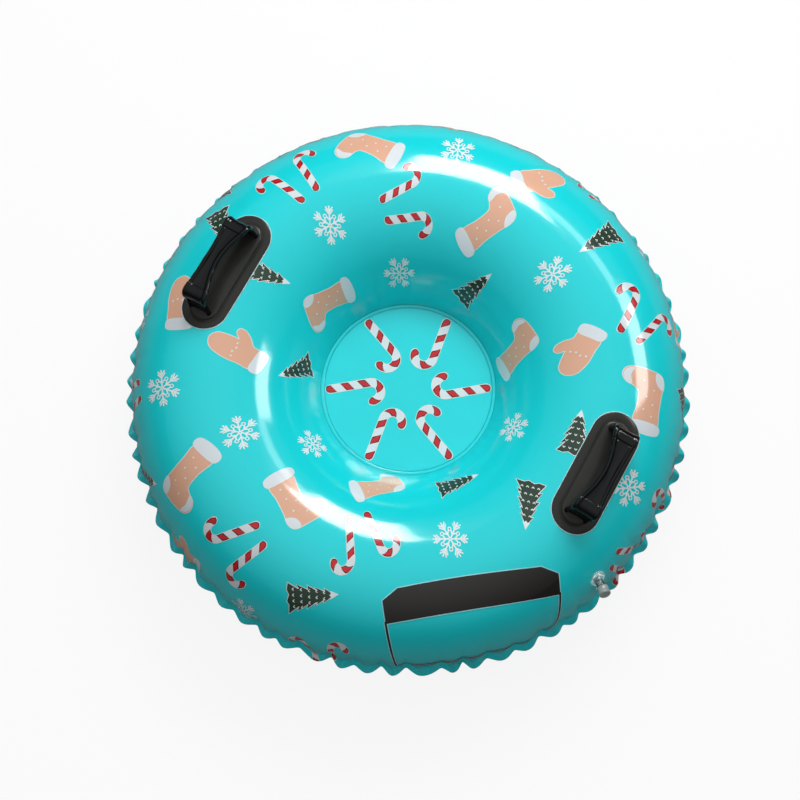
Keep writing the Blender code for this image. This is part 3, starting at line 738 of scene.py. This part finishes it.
def halved(points, faces):
    """The same shape in facets half as long, for the creases at the rim."""
    places, middles, smaller = [tuple(p) for p in points], {}, []

    def middle(*corners):
        key = tuple(sorted(corners))
        if key not in middles:
            middles[key] = len(places)
            places.append(tuple(np.mean([places[i] for i in corners], axis=0)))
        return middles[key]

    for face in faces:
        cuts = [middle(here, there) for here, there in zip(face, list(face[1:]) + list(face[:1]))]
        centre = middle(*face)
        smaller += [(face[k], cuts[k], centre, cuts[k - 1]) for k in range(len(face))]
    return np.array(places), smaller


def lay_ink(ink):
    """One ink's film over the whole sheet, carried from the flat round to the blown-up film."""
    points, faces, lifts = [], [], []
    total = 0
    for shape, shape_faces, level in prints[ink]:
        if np.hypot(*shape.T).max() > wall_run + floor_radius - crease_end:
            shape, shape_faces = halved(shape, shape_faces)
        points.append(shape)
        lifts.append(np.full(len(shape), ink_levels[level]))
        faces += [[i + total for i in face] for face in shape_faces]
        total += len(shape)
    points = np.concatenate(points)
    upright = []
    for face in faces:
        a, b, c = points[face[0]], points[face[1]], points[face[-1]]
        turn = (b[0] - a[0]) * (c[1] - a[1]) - (b[1] - a[1]) * (c[0] - a[0])
        if abs(turn) > 1e-12:
            upright.append(face if turn > 0 else face[::-1])
    distance = np.hypot(points[:, 0], points[:, 1])
    bearing = np.arctan2(points[:, 1], points[:, 0])
    run = np.clip(wall_run + floor_radius - distance, -rim_width, None)
    places, normals = on_film(bearing, run, 1, np.concatenate(lifts))
    return smooth_mesh("print_" + ink, places, upright, normals)


for ink, colour in ink_colours.items():
    set_out("print_" + ink, lay_ink(ink), vinyl(ink + "_ink", colour, 0.10, clouding=0.08), "tube")


# Handle pads
# Two die-cut stadiums of thick black vinyl, high-frequency welded to the top film along their flat border,
# where the weld squeezes out a thin bead, coloured pale as a painted highlight along the pad's edge. Inside
# the border the pad swells over its foam in a low bed, with a soft step round it.

handle_radius = 0.331
pad_length, pad_width, pad_ripple = 0.206, 0.076, 0.00012
# inset from the pad's edge, and height over the film
pad_profile = ((0.012, 0.0003), (0.0, 0.0003), (0.0, 0.0010), (0.0004, 0.0014), (0.0012, 0.0016),
               (0.006, 0.0016), (0.0128, 0.0016), (0.0134, 0.0012), (0.0138, 0.0009), (0.0142, 0.0012),
               (0.0148, 0.0021), (0.0154, 0.0031), (0.0162, 0.0037), (0.0174, 0.0039), (0.021, 0.0040),
               (0.027, 0.0040), (0.033, 0.0040), (0.0372, 0.0040))
bead_profile = ((0.0, 0.0002), (0.0, 0.0012), (-0.0007, 0.0011), (-0.0012, 0.0007), (-0.0014, 0.0002))


def skinned(name, rings, start=0, end=0, looped=False, flipped=False):
    """Mesh over a row of rings, looped or with its first and last closed by a flat face.

    A closing face runs the way of its ring's points (1) or against it (-1).
    """
    rows = np.arange(len(rings) * len(rings[0])).reshape(len(rings), -1)
    faces = []
    for row, following in zip(rows, np.roll(rows, -1, 0) if looped else rows[1:]):
        faces += ring_faces(following, row) if flipped else ring_faces(row, following)
    for row, way in ((rows[0], start), (rows[-1], end)):
        if way:
            faces.append(row.tolist()[::way])
    return smooth_mesh(name, np.concatenate(rings), faces)


def over_film(x, y, lift):
    """Points that stand off the top film over plan places."""
    run = np.interp(-np.hypot(x, y), -section_radii, section_runs)
    return on_film(np.arctan2(y, x), run, 1, lift)[0]


def pad_ring(inset, lift, ends=26, sides=26):
    """Stadium round the right handle, over the film."""
    radius = pad_width / 2 - inset
    straight = (pad_length - pad_width) / 2
    points = []
    for end in (1, -1):
        turns = np.linspace(0, math.pi, ends + 1)
        points += [(end * radius * math.cos(t), end * (straight + radius * math.sin(t))) for t in turns]
        points += [(-end * radius, end * straight * (1 - 2 * i / sides)) for i in range(1, sides)]
    across, along = np.array(points).T
    ripple = pad_ripple * np.cos(along * 260) if inset > 0.018 else 0
    return over_film(handle_radius + across, along, lift + ripple)


pad_vinyl = vinyl("black_pad_vinyl", (0.030, 0.031, 0.028), 0.22, specular=0.20, clouding=0.3, scuffs=0.2)
# the bead's near-white colour is a painted highlight along the pad's edge
pad_bead_highlight_vinyl = vinyl("pad_bead_painted_highlight", (0.55, 0.80, 0.82), 0.2)
handle_sides = (("right", Matrix.Rotation(0, 4, "Z")), ("left", Matrix.Rotation(math.pi, 4, "Z")))
for side, turn in handle_sides:
    pad = skinned("handle_pad", [pad_ring(*place) for place in pad_profile], end=1)
    pad.transform(turn)
    set_out(side + "_pad", pad, pad_vinyl, "tube", (side + "_handle_pad",))
    bead = skinned("pad_bead", [pad_ring(*place) for place in bead_profile], looped=True, flipped=True)
    bead.transform(turn)
    set_out(side + "_pad_bead", bead, pad_bead_highlight_vinyl, "tube")


# Handle grips
# Each grip is one soft moulded strap of glossy black PVC with rolled edges, waisted for the hand and pushed
# over outwards by use. Its square shoulders stand a little proud, and its feet are welded to the pad's bed.

grip_offset, grip_sway, grip_belly = 0.004, 0.004, 0.005
grip_height, grip_length = 0.047, 0.140
grip_foot_spread, grip_crown, shoulder_radius, shoulder_length = 0.003, 0.002, 0.009, 0.0085
end_width, waist_width = 0.042, 0.025
web_thickness, web_dish, roll_diameter = 0.0036, 0.0008, 0.0075
foot_flare, foot_lift = 0.5, 0.0038


def grip_line():
    """Middle line from foot to foot: place along and up, slope, share of the waist, how proud it stands."""
    shoulder = grip_length / 2 - shoulder_radius
    top = grip_height - grip_crown
    bend = top - shoulder_radius
    foot = grip_length / 2 + grip_foot_spread
    leg_slope = math.atan2(bend, grip_foot_spread)
    half = []
    for share in np.linspace(0, 1, 11)[:-1]:
        half.append((-foot + grip_foot_spread * share, bend * share, leg_slope, 0.0, float(share > 0.85)))
    for turn in np.linspace(0, math.pi / 2, 10):
        half.append((-shoulder - shoulder_radius * math.cos(turn), bend + shoulder_radius * math.sin(turn),
                     math.pi / 2 - turn, 0.0, 1.0))
    step = shoulder - shoulder_length
    places = [shoulder - 0.003, step + 0.0008, step + 0.0003, step - 0.0004, step - 0.0010, step - 0.0018]
    places += list(np.linspace(step - 0.0018, 0, 20)[1:])
    proud = [1.0, 1.0, 0.8, 0.1, -0.12, 0.0] + [0.0] * 19
    for place, rise in zip(places, proud):
        waist = math.cos(math.pi / 2 * place / shoulder)
        half.append((-place, top + grip_crown * waist, 0.0, waist, rise))
    return half + [(-a, u, -s, w, r) for a, u, s, w, r in reversed(half[:-1])]


def strap_section(width, proud):
    """Cross-section of the strap, rolled at both edges, from its right edge round over the top."""
    web, roll = web_thickness / 2, roll_diameter / 2
    centre = width / 2 - roll
    turns = np.radians([0, 22, 45, 68, 90, 112, 132, 148])
    upper = [(centre + roll * math.cos(t), roll * math.sin(t)) for t in turns]
    upper += [(centre * s, web - web_dish * (1 - s)) for s in (0.62, 0.4, 0.2)]
    upper += [(0, web - 0.0009)] + [(-x, y) for x, y in reversed(upper)]
    over = [(x, y + (0.0012 + 0.35 * (roll - y)) * proud if y > 0 else y) for x, y in upper]
    under = [(x, -max(y, web)) if abs(x) < centre * 0.7 else (x, -y) for x, y in reversed(upper[1:-1])]
    return over + under


def film_lift(points):
    """How far points near the top film stand off it, and the film's outward direction there."""
    radius = np.hypot(points[:, 0], points[:, 1])
    run = np.interp(-radius, -section_radii, section_runs)
    height = np.interp(run, section_runs, section_heights)
    tilt = np.interp(run, section_runs, section_tilts)
    normals = np.column_stack([points[:, :2] / radius[:, None] * np.cos(tilt)[:, None], np.sin(tilt)])
    return (points[:, 2] - seam_level - outer_face - height) * np.sin(tilt), normals


def seated(points, direction, lift):
    """Slide points along a direction until they stand off the film by the given lift."""
    for _ in range(20):
        off, normals = film_lift(points)
        points = points + direction * ((lift - off) / (normals @ direction))[:, None]
    return points


def grip_rings():
    """Rings of the right grip from foot to foot."""
    tilt = float(np.interp(-handle_radius, -section_radii, section_tilts))
    height = float(np.interp(-handle_radius, -section_radii, section_heights))
    up = np.array([math.cos(tilt), 0, math.sin(tilt)])
    along = np.array([0.0, 1.0, 0.0])
    across = np.cross(along, up)
    root = np.array([handle_radius, 0, seam_level + outer_face + height]) + across * grip_offset
    rings = []
    line = grip_line()
    for i, (place, rise, slope, waist, proud) in enumerate(line):
        width = end_width + (waist_width - end_width) * waist
        outwards = up * math.cos(slope) - along * math.sin(slope)
        from_foot = min(i, len(line) - 1 - i)
        flare = 1 + foot_flare * math.exp(-(from_foot / 1.2) ** 2)
        hang = grip_sway * rise / grip_height + grip_belly * waist
        centre = root + along * place + up * rise + across * hang
        rock = 0.07 * math.sin(70 * place + 0.6) + 0.04 * math.sin(190 * place)
        section = strap_section(width, proud)
        ring = [centre + across * a + outwards * (b * flare + a * rock * waist) for a, b in section]
        rings.append(np.array(ring))
    leg = up * grip_height + across * grip_sway
    for end in (0, -1):
        rings[end] = seated(rings[end], leg / np.linalg.norm(leg), foot_lift)
    return rings


grip_vinyl = vinyl("black_grip_vinyl", (0.0025, 0.0035, 0.004), 0.08, specular=0.27, clouding=0.2,
                   peel=0.00005, peel_scale=120.0, scuffs=0.15)
for side, turn in handle_sides:
    grip = skinned("handle_grip", grip_rings(), start=-1, end=1, flipped=True)
    grip.transform(turn)
    set_out(side + "_grip", grip, grip_vinyl, "tube", (side + "_handle_grip",))


# Valve flange
# A disc of clear soft PVC welded to the film round the punched hole, with a raised ring near its edge and a
# short boot that grips the leaning stem.

valve_lean = math.radians(20)
stem_radius, boot_wall, boot_height, boot_foot = 0.0070, 0.0012, 0.0050, 0.0115
flange_radius, flange_thickness = 0.0150, 0.0010
fit_gap = 0.0003
turned_steps = 56


def clear_vinyl(name, tint, roughness, transmission):
    """Clear or milky soft PVC, a little cloudy inside."""
    material = vinyl(name, tint, roughness, clouding=0.1, peel=0.00004, peel_scale=500.0, scuffs=0.25)
    shader = material.node_tree.nodes["Principled BSDF"]
    shader.inputs["Transmission Weight"].default_value = transmission
    shader.inputs["IOR"].default_value = 1.48
    return material


clear = clear_vinyl("clear_soft_vinyl", (0.90, 0.97, 0.97), 0.05, 0.97)
valve_height = float(np.interp(valve_run, section_runs, section_heights))
valve_tilt = float(np.interp(valve_run, section_runs, section_tilts))
outwards = Vector((*heading(valve_bearing), 0))
upwards = Vector((0, 0, 1))
clockwise = outwards.cross(upwards)
valve_normal = outwards * math.cos(valve_tilt) + upwards * math.sin(valve_tilt)
valve_root = outwards * valve_radius + upwards * (seam_level + outer_face + valve_height)
stem_axis = valve_normal * math.cos(valve_lean) + clockwise * math.sin(valve_lean)
stem_side = (clockwise - stem_axis * clockwise.dot(stem_axis)).normalized()
valve_axes = Matrix((stem_side, stem_axis.cross(stem_side), stem_axis)).transposed().to_4x4()
valve_frame = Matrix.Translation(valve_root) @ valve_axes


def turned_ring(radius, height):
    """Ring round the stem's axis, square to it."""
    turns = round_turn * np.arange(turned_steps) / turned_steps
    return np.array([valve_frame @ Vector((*(radius * heading(t)), height)) for t in turns])


def turned_rings(*profile):
    return [turned_ring(radius, height) for radius, height in profile]


def crisp(name, rings, **ends):
    """Skin over rings that keeps its square edges."""
    mesh = skinned(name, rings, **ends)
    mesh.set_sharp_from_angle(angle=math.radians(50))
    return mesh


def disc_ring(radius, lift):
    """Ring that lies on the film round the valve."""
    ring = turned_ring(radius, 0)
    root, normal = np.array(valve_root), np.array(valve_normal)
    ring = ring - np.outer((ring - root) @ normal, normal)
    return seated(ring, normal, lift)


bore = stem_radius + fit_gap
boot = bore + boot_wall
top = fit_gap + flange_thickness
disc_profile = ((boot_foot, fit_gap), (flange_radius - 0.0002, fit_gap), (flange_radius, 0.0006),
                (flange_radius - 0.0003, top - 0.0001), (flange_radius - 0.0010, top),
                (flange_radius - 0.0014, top + 0.0004), (flange_radius - 0.0020, top + 0.0004),
                (flange_radius - 0.0025, top), (boot_foot, top))
flange_rings = [seated(turned_ring(bore, 0), np.array(stem_axis), fit_gap)]
flange_rings += [disc_ring(radius, lift) for radius, lift in disc_profile]
flange_rings += turned_rings((boot + 0.0012, 0.0036), (boot + 0.0003, boot_height - 0.0006),
                             (boot - 0.0002, boot_height), (bore, boot_height))
flange_mesh = crisp("valve_flange_disc", flange_rings, looped=True)
set_out("valve_disc", flange_mesh, clear, "tube", ("valve_flange",))


# Valve stem
# A clear soft tube, pulled through the boot, with a thick lip round its mouth. It pushes into the tube until
# the lip meets the boot.

stem_height, stem_tail, bore_radius, lip_radius, lip_thickness = 0.0185, 0.0060, 0.0048, 0.0088, 0.0020
lip_foot = stem_height - lip_thickness
stem_rings = turned_rings((stem_radius, -stem_tail), (stem_radius, lip_foot - 0.0010),
                          (stem_radius + 0.0003, lip_foot - 0.0002), (lip_radius - 0.0004, lip_foot),
                          (lip_radius, lip_foot + 0.0005), (lip_radius, stem_height - 0.0005),
                          (lip_radius - 0.0004, stem_height), (bore_radius + 0.0003, stem_height),
                          (bore_radius, stem_height - 0.0003), (bore_radius, -stem_tail))
stem_mesh = crisp("valve_tube", stem_rings, looped=True)
set_out("valve_tube", stem_mesh, clear, "stem", ("valve_stem",))


# Check flap
# A thin round of clear film on the stem's inner end, with a square ear as its hinge. Air pushes it open.

flap_radius, flap_thickness, flap_ear, ear_angle, flap_edge = 0.0058, 0.0008, 0.0014, math.radians(25), 0.0003
sweep = math.pi - ear_angle
ear_corner = flap_radius * math.sin(ear_angle)
flap_outline = [(0, -ear_corner), (0, ear_corner)]
flap_outline += [(flap_radius * (1 + math.cos(t)) + flap_ear, flap_radius * math.sin(t))
                 for t in np.linspace(sweep, -sweep, 41)]
flap_rings = []
flap_profile = ((flap_edge, -flap_thickness), (0, 0.0002 - flap_thickness), (0, -0.0002), (flap_edge, 0))
for inset, depth in flap_profile:
    flap_rings.append([valve_frame @ Vector((x - flap_radius - flap_ear, y, depth - stem_tail - fit_gap))
                       for x, y in grown(flap_outline, -inset)])
flap_mesh = crisp("check_flap", flap_rings, start=1, end=-1, flipped=True)
set_out("check_flap", flap_mesh, clear, "flap", ("valve_flap",))


# Valve plug
# A milky stopper, moulded in one with the spigot that seals the stem's bore. Its crown is rounded and its
# side has a shallow thumb groove.

plug_radius, plug_height, plug_rounding = 0.0092, 0.0140, 0.0020
spigot_length, spigot_taper, groove = 0.0110, 0.0006, 0.0004
spigot = bore_radius - fit_gap
seat = stem_height + fit_gap
plug_top = seat + plug_height
plug_rings = turned_rings((spigot - spigot_taper - 0.0005, stem_height - spigot_length),
                          (spigot - spigot_taper, stem_height - spigot_length + 0.0005), (spigot, seat),
                          (plug_radius - 0.0006, seat), (plug_radius - 0.0001, seat + 0.0004),
                          (plug_radius, seat + 0.0010), (plug_radius, seat + 0.0045),
                          (plug_radius - groove, seat + 0.0060), (plug_radius - groove, seat + 0.0080),
                          (plug_radius, seat + 0.0095))
for turn in np.linspace(0, math.pi / 2, 6):
    plug_rings.append(turned_ring(plug_radius - plug_rounding * (1 - math.cos(turn)),
                                  plug_top - plug_rounding * (1 - math.sin(turn))))
plug_rings.append(turned_ring(plug_radius * 0.5, plug_top - 0.0002))
plug_mesh = crisp("valve_stopper", plug_rings, start=-1, end=1)
milky = clear_vinyl("milky_soft_vinyl", (0.46, 0.50, 0.49), 0.12, 0.35)
set_out("valve_stopper", plug_mesh, milky, "plug", ("valve_plug",))


# Plug strap
# A short flat loop of the stem's own soft PVC that keeps the pulled plug from being lost.

strap_width, strap_thickness, strap_reach, strap_corners = 0.0030, 0.0012, 0.0070, 12
strap_foot, strap_low = lip_radius + fit_gap, stem_height - lip_thickness / 2
strap_head, strap_high = plug_radius + fit_gap, seat + plug_height / 2


def rounded_off(share, half, power):
    return half * math.copysign(abs(share) ** power, share)


def strap_ring(turn):
    """Ring of the strap at a turn of its half round from the lip to the plug."""
    swing, rise = math.sin(turn), (1 - math.cos(turn)) / 2
    wider, higher = strap_head - strap_foot, strap_high - strap_low
    middle = Vector((0, strap_foot + wider * rise + strap_reach * swing, strap_low + higher * rise))
    slope = Vector((0, wider / 2 * swing + strap_reach * math.cos(turn), higher / 2 * swing))
    slope.normalize()
    thick = Vector((0, -slope.z, slope.y))
    ring = []
    for corner in range(strap_corners):
        around = round_turn * (corner + 0.5) / strap_corners
        wide = Vector((rounded_off(math.cos(around), strap_width / 2, 0.45), 0, 0))
        deep = thick * rounded_off(math.sin(around), strap_thickness / 2, 0.6)
        ring.append(valve_frame @ (middle + wide + deep))
    return ring


strap_rings = [strap_ring(turn) for turn in np.linspace(0, math.pi, 25)]
plug_strap = linked("plug_strap", skinned("plug_strap", strap_rings, start=-1, end=1))
plug_strap.data.materials.append(clear)
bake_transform(plug_strap)
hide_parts("valve_strap")


# Studio
# Plain pale paper that rises into a backdrop far behind, under a soft sky that is brightest overhead. One
# softbox lights the tube, and three more show only as its highlights. The camera has the photograph's angle.

paper_turns = round_turn * np.arange(48) / 48
paper_profile = ((9.0, 0.0), (9.6, 0.2), (9.9, 0.8), (10.0, 4.2))
paper_rings = [[(*(radius * heading(t)), height) for t in paper_turns] for radius, height in paper_profile]
paper_mesh = skinned("studio_paper", paper_rings, start=1, flipped=True)
paper_mesh.shade_flat()
linked("studio_paper", paper_mesh)


def grey(level):
    return (level, level, level, 1)


def paper():
    """Paper: near white to the eye and through clear vinyl, grey in the gloss and for what it throws back."""
    material = bpy.data.materials.new("studio_paper")
    material.use_nodes = True
    tree = material.node_tree
    path = tree.nodes.new("ShaderNodeLightPath").outputs
    thrown = tree.nodes["Principled BSDF"]
    for socket, value in (("Base Color", grey(0.25)), ("Roughness", 1.0), ("Specular IOR Level", 0.0)):
        thrown.inputs[socket].default_value = value

    def mixed(share, first, second):
        return placed(tree, "ShaderNodeMixShader", {0: share, 1: first, 2: second})

    pale, reflected = [placed(tree, "ShaderNodeBsdfDiffuse", {"Color": grey(level)}) for level in (0.9, 0.3)]
    shown = mixed(0.88, pale, placed(tree, "ShaderNodeEmission", {"Color": grey(1)}))
    direct = reckoned(tree, "MAXIMUM", path["Is Camera Ray"], path["Is Transmission Ray"])
    seen = mixed(direct, mixed(path["Is Glossy Ray"], thrown.outputs["BSDF"], reflected), shown)
    back = placed(tree, "ShaderNodeNewGeometry", output="Backfacing")
    whole = mixed(back, seen, placed(tree, "ShaderNodeBsdfTransparent"))
    tree.links.new(whole, tree.nodes["Material Output"].inputs["Surface"])
    return material


paper_mesh.materials.append(paper())

world = bpy.data.worlds.new("studio_sky")
world.use_nodes = True
bpy.context.scene.world = world
sky = world.node_tree
background = sky.nodes["Background"].inputs
background["Color"].default_value = grey(1)
sky_rim, sky_top, sky_lean, sky_azimuth = 0.12, 0.68, 0.36, math.radians(130)
looking = placed(sky, "ShaderNodeTexCoord", output="Generated")
height = placed(sky, "ShaderNodeSeparateXYZ", {"Vector": looking}, "Z")
square = reckoned(sky, "POWER", reckoned(sky, "MAXIMUM", height, 0.0), 2.0)
strength = reckoned(sky, "MULTIPLY_ADD", square, sky_top, sky_rim)
bright_side = (*(sky_lean * heading(sky_azimuth)), 0)
lean = placed(sky, "ShaderNodeVectorMath", {0: looking, 1: bright_side}, "Value", operation="DOT_PRODUCT")
sky.links.new(reckoned(sky, "MULTIPLY", strength, reckoned(sky, "ADD", lean, 1.0)), background["Strength"])


def looking_out(azimuth, elevation):
    """Direction from the tube's middle out to a lamp or the camera."""
    return Vector((*(heading(azimuth) * math.cos(elevation)), math.sin(elevation)))


def softbox(name, azimuth, elevation, distance, width, height, power, mirrored=False):
    """Area lamp that faces the tube, either for its light or for its mirror image in the gloss."""
    lamp = bpy.data.lights.new(name, "AREA")
    lamp.shape = "RECTANGLE"
    lamp.size, lamp.size_y, lamp.energy = width, height, power
    stand = linked(name, lamp)
    towards = looking_out(math.radians(azimuth), math.radians(elevation))
    stand.location = Vector((0, 0, seam_level)) + towards * distance
    stand.rotation_mode = "QUATERNION"
    stand.rotation_quaternion = towards.to_track_quat("Z", "Y")
    stand.visible_diffuse, stand.visible_glossy = not mirrored, mirrored


softbox("softbox_key", 103, 48, 3.0, 2.4, 1.1, 62)
softbox("softbox_image", 105.5, 43, 2.8, 0.98, 1.10, 76, mirrored=True)
softbox("tail_image", 82, 43, 2.9, 1.3, 0.40, 7, mirrored=True)
softbox("side_image", 50, 37, 2.8, 1.1, 0.72, 27, mirrored=True)

camera_data = bpy.data.cameras.new("camera")
camera_data.lens = 65.25
camera_data.sensor_width = 36
picture_width = 800
camera_data.shift_x, camera_data.shift_y = -8.285 / picture_width, -11.246 / picture_width
camera = linked("camera", camera_data)
camera_distance = 2.3965
towards_camera = looking_out(math.radians(29.21 - 90), math.radians(77.44))
camera.location = Vector((0, 0, seam_level)) + towards_camera * camera_distance
camera.rotation_mode = "QUATERNION"
camera.rotation_quaternion = (-towards_camera).to_track_quat("-Z", "Y")
bpy.context.scene.camera = camera
bpy.context.scene.view_settings.view_transform = "Standard"
